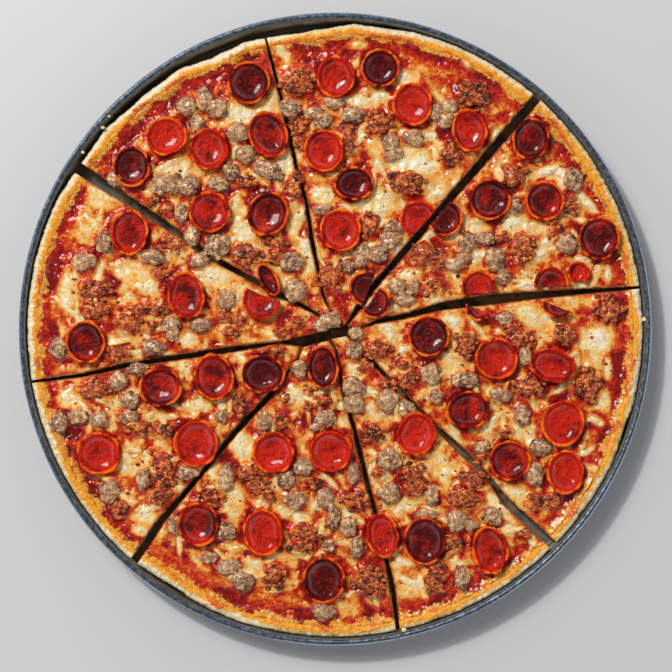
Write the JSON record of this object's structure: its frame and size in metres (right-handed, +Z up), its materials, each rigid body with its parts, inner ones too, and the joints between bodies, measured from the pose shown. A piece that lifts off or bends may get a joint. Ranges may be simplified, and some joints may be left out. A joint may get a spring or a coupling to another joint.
{
  "type": "deep dish pizza in its pan",
  "caption": "Round deep dish pizza with curled pepperoni, crumbled sausage and melted cheese, cut into wedges in its own round steel pan.",
  "frame": {"origin": "on the pan's axis, on the surface that the pan stands on", "axes": "+Z up along the pan's axis; +Y is the picture's up and away from a viewer in front, +X the picture's right"},
  "size_m": [0.412, 0.412, 0.0283],
  "materials": {
    "pan_steel": "dark seasoned steel, satin, with bare bright rubs on the rim",
    "baked_dough": "baked golden dough, matte and pebbly",
    "sauce_and_cheese": "melted cheese over tomato sauce with orange oil, half gloss",
    "pepperoni": "oily cured sausage, glossy, dark at the rims"
  },
  "bodies": {
    "root": {"pan": "pan_steel", "crust_a": "baked_dough", "crust_b": "baked_dough", "crust_c": "baked_dough", "crust_d": "baked_dough", "crust_e": "baked_dough", "crust_f": "baked_dough", "crust_g": "baked_dough", "crust_h": "baked_dough", "cheese_a": "sauce_and_cheese", "cheese_b": "sauce_and_cheese", "cheese_c": "sauce_and_cheese", "cheese_d": "sauce_and_cheese", "cheese_e": "sauce_and_cheese", "cheese_f": "sauce_and_cheese", "cheese_g": "sauce_and_cheese", "cheese_h": "sauce_and_cheese", "pepperoni_a1": "pepperoni", "pepperoni_a2": "pepperoni", "pepperoni_a3": "pepperoni", "pepperoni_a4": "pepperoni", "pepperoni_a5": "pepperoni", "pepperoni_a6": "pepperoni", "pepperoni_a7": "pepperoni", "pepperoni_b1": "pepperoni", "pepperoni_b2": "pepperoni", "pepperoni_b3": "pepperoni", "pepperoni_b4": "pepperoni", "pepperoni_b5": "pepperoni", "pepperoni_b6": "pepperoni", "pepperoni_b7": "pepperoni", "pepperoni_c1": "pepperoni", "pepperoni_c2": "pepperoni", "pepperoni_c3": "pepperoni", "pepperoni_c4": "pepperoni", "pepperoni_d1": "pepperoni", "pepperoni_d2": "pepperoni", "pepperoni_d3": "pepperoni", "pepperoni_d4": "pepperoni", "pepperoni_d5": "pepperoni", "pepperoni_d6": "pepperoni", "pepperoni_d7": "pepperoni", "pepperoni_e1": "pepperoni", "pepperoni_e2": "pepperoni", "pepperoni_e3": "pepperoni", "pepperoni_e4": "pepperoni", "pepperoni_f1": "pepperoni", "pepperoni_f2": "pepperoni", "pepperoni_f3": "pepperoni", "pepperoni_f4": "pepperoni", "pepperoni_f5": "pepperoni", "pepperoni_f6": "pepperoni", "pepperoni_g1": "pepperoni", "pepperoni_g2": "pepperoni", "pepperoni_g3": "pepperoni", "pepperoni_g4": "pepperoni", "pepperoni_g5": "pepperoni", "pepperoni_h1": "pepperoni", "pepperoni_h2": "pepperoni", "pepperoni_h3": "pepperoni"}
  },
  "joints": []
}
